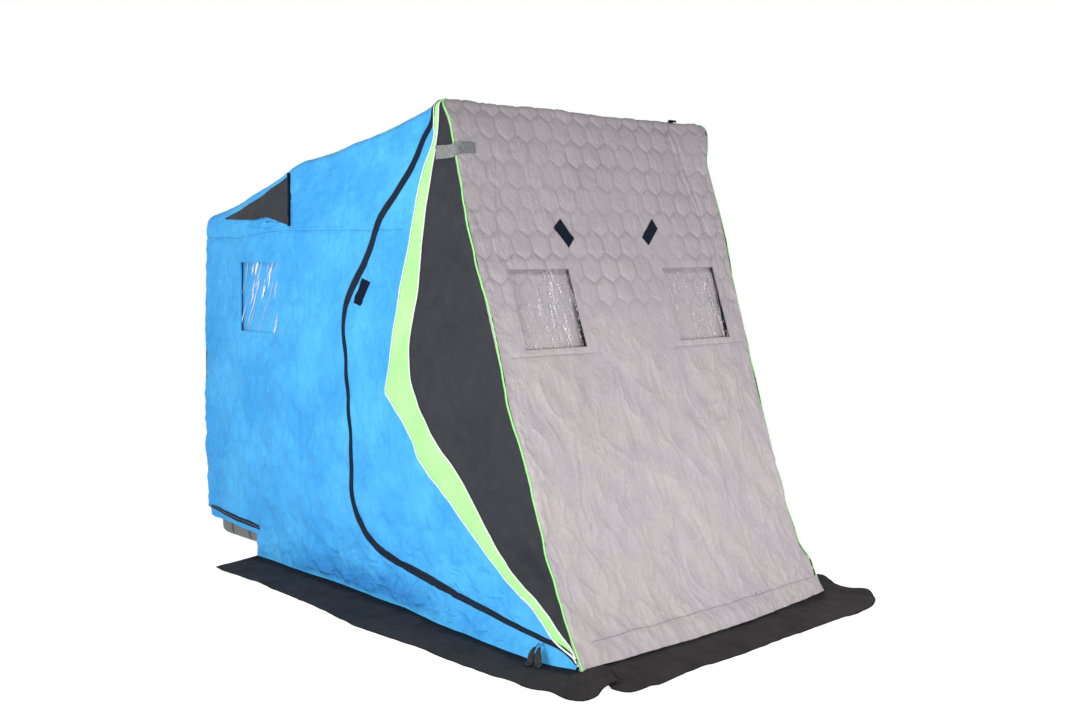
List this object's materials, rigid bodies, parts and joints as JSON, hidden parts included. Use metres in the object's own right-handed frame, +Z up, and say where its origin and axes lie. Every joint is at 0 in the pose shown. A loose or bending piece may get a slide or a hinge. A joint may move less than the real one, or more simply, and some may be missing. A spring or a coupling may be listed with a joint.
{
  "type": "flip-over ice fishing shelter",
  "caption": "Quilted fabric fishing hut with a sloping front wall, zipped side doors, vinyl windows and a snow skirt, on tube bows that pivot on a sled.",
  "frame": {"origin": "on the ice, in the middle of the hut's whole width and length, skirt included", "axes": "+X across the hut, +Y from its sloping front wall to its rear, over the sled, +Z up"},
  "size_m": [1.902, 2.8085, 1.9104],
  "materials": {
    "grey_quilt": "matte",
    "blue_quilt": "matte",
    "lime_fabric": "matte",
    "black_fabric": "matte",
    "zip_tape": "matte",
    "skirt_fabric": "matte",
    "reflective_webbing": "satin",
    "lining_fabric": "matte",
    "clear_vinyl": "gloss",
    "pole_metal": "satin",
    "plate_metal": "satin",
    "sled_plastic": "matte",
    "runner_plastic": "satin",
    "pull_plastic": "satin"
  },
  "bodies": {
    "shelter": {"bow_crossbars": "pole_metal", "corner_strap": "reflective_webbing", "front_left_window": "clear_vinyl", "front_patches": "black_fabric", "front_right_window": "clear_vinyl", "front_roof": "grey_quilt", "front_skirt": "skirt_fabric", "front_wall": "grey_quilt", "hem_tape": "black_fabric", "left_bow_legs": "pole_metal", "left_door_sill": "blue_quilt", "left_piping": "lime_fabric", "left_pivot_plate": "plate_metal", "left_side_wall": "blue_quilt", "left_skirt": "skirt_fabric", "left_upper_wall": "blue_quilt", "left_vent": "black_fabric", "left_wall_zip": "zip_tape", "left_window": "clear_vinyl", "lower_band": "blue_quilt", "rear_roof": "grey_quilt", "rear_wall": "grey_quilt", "right_bow_legs": "pole_metal", "right_door_sill": "blue_quilt", "right_piping": "lime_fabric", "right_pivot_plate": "plate_metal", "right_side_wall": "blue_quilt", "right_skirt": "skirt_fabric", "right_upper_wall": "blue_quilt", "right_vent": "black_fabric", "right_wall_zip": "zip_tape", "right_window": "clear_vinyl", "sled_runners": "runner_plastic", "sled_tub": "sled_plastic", "window_flaps": "lining_fabric", "zip_pulls": "pull_plastic"},
    "left_door_flap": {"left_door": "blue_quilt", "left_door_stripe": "lime_fabric", "left_door_panel": "black_fabric", "left_door_zip": "zip_tape", "left_door_tab": "zip_tape", "left_door_strap": "reflective_webbing"},
    "right_door_flap": {"right_door": "blue_quilt", "right_door_stripe": "lime_fabric", "right_door_panel": "black_fabric", "right_door_zip": "zip_tape", "right_door_tab": "zip_tape"}
  },
  "joints": [
    {"name": "left_door_hinge", "type": "hinge", "parent": "shelter", "child": "left_door_flap", "pos_m": [-0.701, -1.11427, 0], "axis": [0, 0.347, 0.9379], "range_deg": [0, 110]},
    {"name": "right_door_hinge", "type": "hinge", "parent": "shelter", "child": "right_door_flap", "pos_m": [0.701, -1.11427, 0], "axis": [0, -0.347, -0.9379], "range_deg": [0, 110]}
  ]
}
